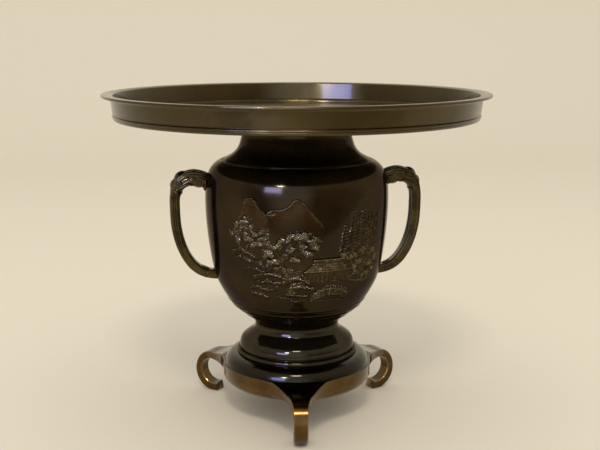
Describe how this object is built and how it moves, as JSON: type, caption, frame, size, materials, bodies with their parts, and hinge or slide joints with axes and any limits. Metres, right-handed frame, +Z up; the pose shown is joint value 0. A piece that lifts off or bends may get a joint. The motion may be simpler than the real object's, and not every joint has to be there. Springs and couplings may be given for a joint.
{
  "type": "usubata flower vase",
  "caption": "Cast bronze flower vase: wide shallow lift-off dish on a necked round body with beast-head handles, a bell pedestal and a scroll-legged stand.",
  "frame": {"origin": "on the vase's axis, at the level that the feet stand on", "axes": "+Z up along the axis, front with the relief towards -Y, one leg 6 degrees off it, handles along X"},
  "size_m": [0.3, 0.3, 0.256],
  "materials": {
    "dish_bronze": "olive-brown lacquered bronze, satin",
    "dark_bronze": "brown-black patina, waxed to a gloss",
    "handle_bronze": "greenish brown patina rubbed back on the high spots",
    "stand_bronze": "brown-black patina, gloss, golden on the edges",
    "plain_brass": "dull turned brass"
  },
  "bodies": {
    "vase": {"neck_collar": "dark_bronze", "body_shell": "dark_bronze", "body_floor": "dark_bronze", "handle_left": "handle_bronze", "handle_right": "handle_bronze", "handle_rivets": "plain_brass", "pedestal": "dark_bronze", "tripod_stand": "stand_bronze", "tie_stud": "plain_brass", "clamp_washer": "plain_brass", "clamp_nut": "plain_brass"},
    "dish": {"top_dish": "dish_bronze", "dish_spigot": "dish_bronze"}
  },
  "joints": [
    {"name": "dish_lift", "type": "slide", "parent": "vase", "child": "dish", "axis": [0, 0, 1], "range_m": [0, 0.06]}
  ]
}
